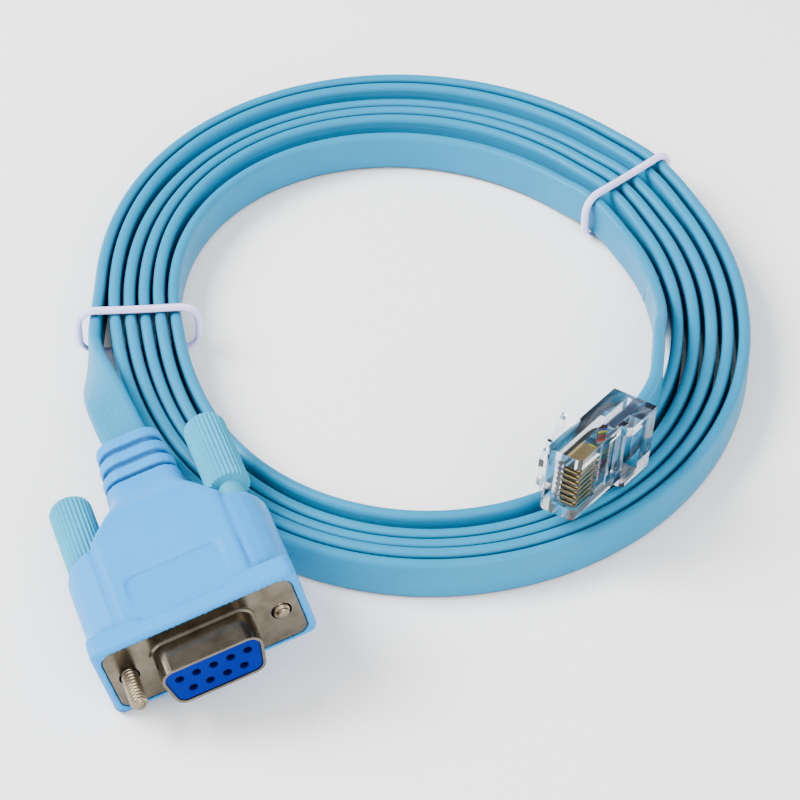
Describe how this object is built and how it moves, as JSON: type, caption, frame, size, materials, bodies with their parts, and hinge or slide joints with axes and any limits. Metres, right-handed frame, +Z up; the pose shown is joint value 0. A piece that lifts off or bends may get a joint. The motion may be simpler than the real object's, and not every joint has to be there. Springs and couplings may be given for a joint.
{
  "type": "console cable",
  "caption": "Flat sky-blue console cable, coiled and tied, with a moulded D-shaped serial connector and thumbscrews on one end and a clear modular plug on the other.",
  "frame": {"origin": "on the floor, below the middle of the box round the serial connector and the modular plug", "axes": "+Z up from the floor the cable lies on; the serial connector faces mostly -Y and the modular plug lies to its +X side"},
  "size_m": [0.1174, 0.1627, 0.0229],
  "materials": {
    "blue_pvc": "semi-matt moulded soft PVC, sky blue",
    "cable_jacket": "smooth semi-matt PVC jacket, sky blue",
    "clear_plastic": "clear glossy polycarbonate",
    "core_black_insulation": "black core insulation",
    "core_blue_insulation": "blue core insulation",
    "core_crimson_insulation": "crimson core insulation",
    "core_green_insulation": "green core insulation",
    "core_grey_insulation": "dark grey core insulation",
    "core_orange_insulation": "orange red core insulation",
    "core_white_insulation": "grey white core insulation",
    "core_yellow_insulation": "yellow core insulation",
    "elastic": "smooth lilac elastic",
    "gold_plating": "bright gold plating",
    "grip_plastic": "fluted matt plastic, sky blue",
    "insert_plastic": "satin royal blue moulding",
    "plated_steel": "tin or nickel plated pressed steel"
  },
  "bodies": {
    "cable": {"cable_coil": "cable_jacket", "cable_lead": "cable_jacket", "cable_tail": "cable_jacket", "contact_1": "gold_plating", "contact_2": "gold_plating", "contact_3": "gold_plating", "contact_4": "gold_plating", "contact_5": "gold_plating", "contact_6": "gold_plating", "contact_7": "gold_plating", "contact_8": "gold_plating", "contact_9": "gold_plating", "core_black": "core_black_insulation", "core_blue": "core_blue_insulation", "core_crimson": "core_crimson_insulation", "core_green": "core_green_insulation", "core_grey": "core_grey_insulation", "core_orange": "core_orange_insulation", "core_white": "core_white_insulation", "core_yellow": "core_yellow_insulation", "hood": "blue_pvc", "insert": "insert_plastic", "plug_blade_1": "gold_plating", "plug_blade_2": "gold_plating", "plug_blade_3": "gold_plating", "plug_blade_4": "gold_plating", "plug_blade_5": "gold_plating", "plug_blade_6": "gold_plating", "plug_blade_7": "gold_plating", "plug_blade_8": "gold_plating", "plug_body": "clear_plastic", "shell": "plated_steel", "tie_left": "elastic", "tie_right": "elastic"},
    "screw_rod_left": {"screw_rod_left": "plated_steel"},
    "screw_grip_left": {"screw_grip_left": "grip_plastic"},
    "screw_rod_right": {"screw_rod_right": "plated_steel"},
    "screw_grip_right": {"screw_grip_right": "grip_plastic"},
    "plug_latch": {"plug_latch": "clear_plastic"}
  },
  "joints": [
    {"name": "left_screw_slide", "type": "slide", "parent": "cable", "child": "screw_rod_left", "axis": [-0.32, 0.9474, 0], "range_m": [0, 0.006]},
    {"name": "left_screw_turn", "type": "hinge", "parent": "screw_rod_left", "child": "screw_grip_left", "pos_m": [-0.03996, -0.00427, 0.00793], "axis": [0.32, -0.9474, 0], "continuous": true},
    {"name": "right_screw_slide", "type": "slide", "parent": "cable", "child": "screw_rod_right", "axis": [-0.32, 0.9474, 0], "range_m": [-0.0055, 0.0005]},
    {"name": "right_screw_turn", "type": "hinge", "parent": "screw_rod_right", "child": "screw_grip_right", "pos_m": [-0.01704, 0.00347, 0.01423], "axis": [0.32, -0.9474, 0], "continuous": true},
    {"name": "latch_press", "type": "hinge", "parent": "cable", "child": "plug_latch", "pos_m": [0.02979, 0.01128, 0.01708], "axis": [-0.0863, -0.1304, -0.9877], "range_deg": [0, 13], "stiffness_Nm_per_rad": 0.05}
  ]
}
